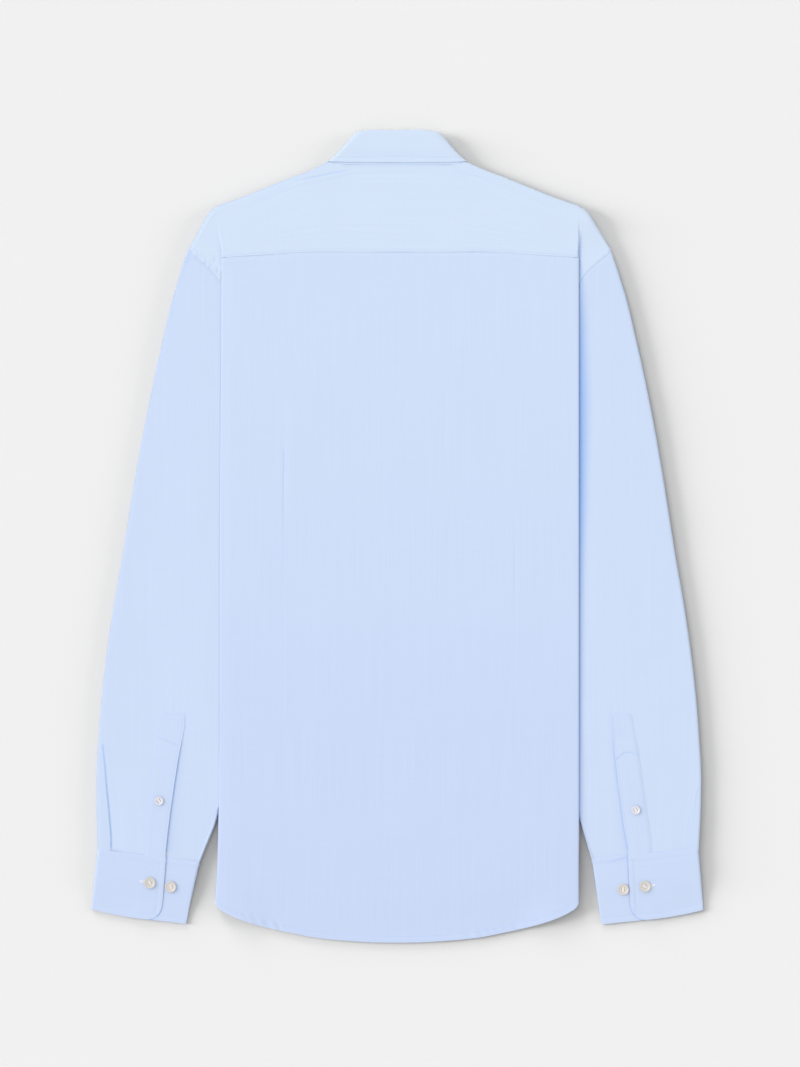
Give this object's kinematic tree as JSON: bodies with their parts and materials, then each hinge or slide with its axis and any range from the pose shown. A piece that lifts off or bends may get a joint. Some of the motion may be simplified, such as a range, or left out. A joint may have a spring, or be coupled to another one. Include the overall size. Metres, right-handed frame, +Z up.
{
  "type": "sport shirt",
  "caption": "Long-sleeved button-front shirt in light blue poplin, laid flat with its back up: turned-down collar, back yoke, curved shirt-tail hem and button cuffs.",
  "frame": {"origin": "middle of the bounding box in plan, on the ground the shirt lies on", "axes": "+Y towards the collar, +X to the wearer's right (the shirt is face down), +Z up, out of its back"},
  "size_m": [0.6128, 0.8128, 0.0103],
  "materials": {
    "poplin": "light blue cotton poplin, matte",
    "poplin_interlined": "light blue cotton poplin over interlining, matte",
    "buttons": "off-white pearly resin, soft gloss"
  },
  "bodies": {
    "root": {"back": "poplin", "yoke": "poplin", "front_left": "poplin", "front_right": "poplin", "sleeve_left": "poplin", "sleeve_right": "poplin", "collar_stand": "poplin_interlined", "collar_fall": "poplin_interlined", "cuff_left": "poplin_interlined", "cuff_right": "poplin_interlined", "sleeve_placket_left": "poplin_interlined", "sleeve_placket_right": "poplin_interlined", "collar_button": "buttons", "cuff_button_left": "buttons", "cuff_button_right": "buttons", "cuff_spare_button_left": "buttons", "cuff_spare_button_right": "buttons", "sleeve_placket_button_left": "buttons", "sleeve_placket_button_right": "buttons", "front_button_1": "buttons", "front_button_2": "buttons", "front_button_3": "buttons", "front_button_4": "buttons", "front_button_5": "buttons", "front_button_6": "buttons"}
  },
  "joints": []
}
